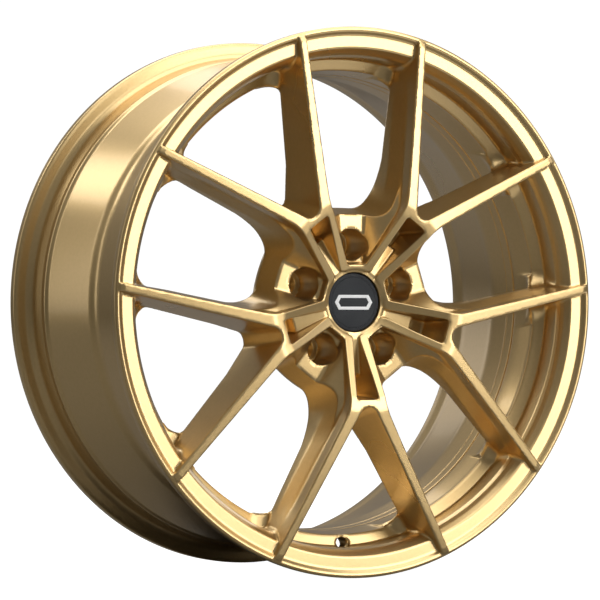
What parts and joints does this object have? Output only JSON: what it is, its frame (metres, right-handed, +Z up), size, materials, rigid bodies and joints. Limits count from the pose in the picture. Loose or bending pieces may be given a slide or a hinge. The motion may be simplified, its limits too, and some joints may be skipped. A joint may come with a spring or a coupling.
{
  "type": "forged racing wheel rim",
  "caption": "Forged V-spoke wheel rim in satin gold with deep lug pockets, stepped lip, drop-centre barrel, snap-in black centre cap and hub-centring ring.",
  "frame": {"origin": "middle of the wheel's box, on the wheel axis, halfway between the front-most face of the arms and the rear flange", "axes": "Y along the wheel axis with the styled face towards -Y, +Z up, +X to the right of someone who faces the wheel"},
  "size_m": [0.5426, 0.2514, 0.5426],
  "materials": {
    "gold_finish": "satin gold powder coat with fine metallic flake over forged aluminium",
    "cap_plastic": "fine-grained black moulded plastic",
    "emblem_black": "satin black domed disc",
    "mark_white": "white raised mark, plain elongated hexagon",
    "spring_wire": "bright spring steel wire",
    "ring_plastic": "dark grey glass-filled nylon"
  },
  "bodies": {
    "wheel": {"outer_lip": "gold_finish", "rim_barrel": "gold_finish", "rear_flange": "gold_finish", "hub": "gold_finish", "arm_1": "gold_finish", "arm_2": "gold_finish", "arm_3": "gold_finish", "arm_4": "gold_finish", "arm_5": "gold_finish", "spoke_1_left": "gold_finish", "spoke_1_right": "gold_finish", "spoke_2_left": "gold_finish", "spoke_2_right": "gold_finish", "spoke_3_left": "gold_finish", "spoke_3_right": "gold_finish", "spoke_4_left": "gold_finish", "spoke_4_right": "gold_finish", "spoke_5_left": "gold_finish", "spoke_5_right": "gold_finish"},
    "centre_cap": {"cap_body": "cap_plastic", "cap_emblem": "emblem_black", "cap_mark": "mark_white", "cap_spring_ring": "spring_wire"},
    "hub_ring": {"hub_centring_ring": "ring_plastic"}
  },
  "joints": [
    {"name": "cap_pull", "type": "slide", "parent": "wheel", "child": "centre_cap", "axis": [0, -1, 0], "range_m": [0, 0.045]},
    {"name": "hub_ring_pull", "type": "slide", "parent": "wheel", "child": "hub_ring", "axis": [0, 1, 0], "range_m": [0, 0.04]}
  ]
}
